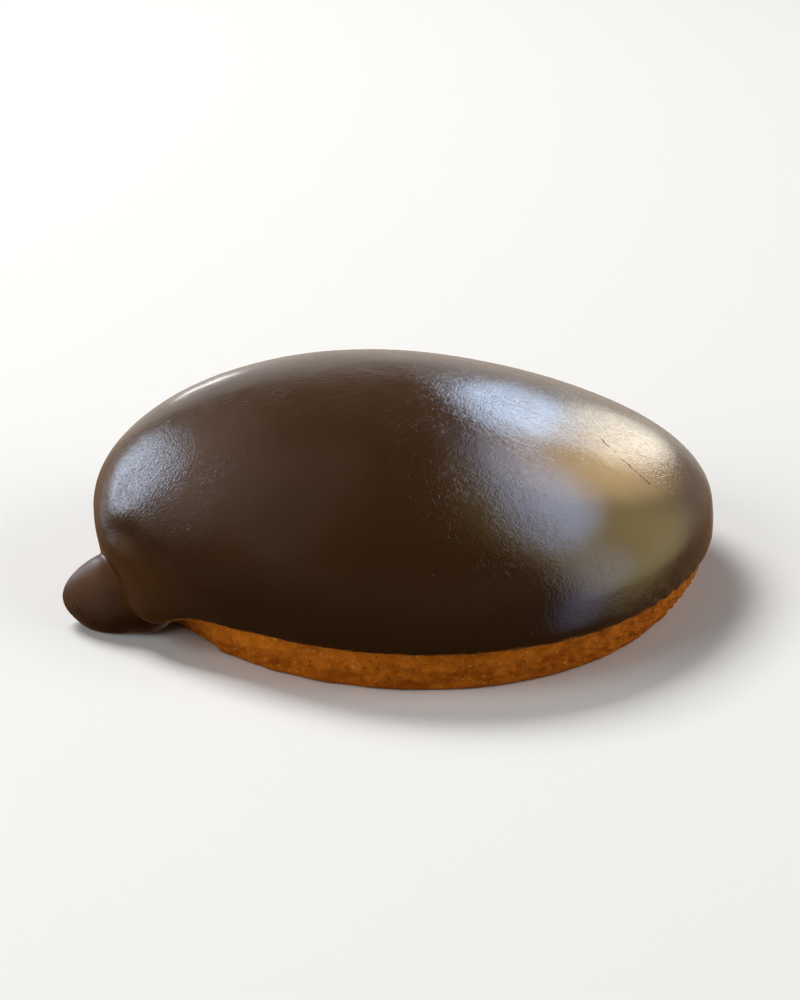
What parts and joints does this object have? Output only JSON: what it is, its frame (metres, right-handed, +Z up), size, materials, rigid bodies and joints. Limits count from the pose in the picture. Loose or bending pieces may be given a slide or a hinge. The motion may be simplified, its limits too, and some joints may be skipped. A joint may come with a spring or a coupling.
{
  "type": "chocolate-filled macaroon",
  "caption": "Round almond biscuit under a smooth, lopsided dome of dark chocolate, with a roll and a set drip at one side of the chocolate's edge.",
  "frame": {"origin": "centre of the flat underside of the biscuit, on the surface that it stands on", "axes": "+Z up; -Y towards the shown front; +X to the right seen from that front, so the drip is at -X and a little -Y"},
  "size_m": [0.0672, 0.0654, 0.0237],
  "materials": {
    "almond_paste": "baked almond paste, golden brown, matt and crumbly",
    "chocolate": "set dark chocolate, soft gloss with fine wrinkles"
  },
  "bodies": {
    "root": {"macaroon_base": "almond_paste", "chocolate_coat": "chocolate"}
  },
  "joints": []
}
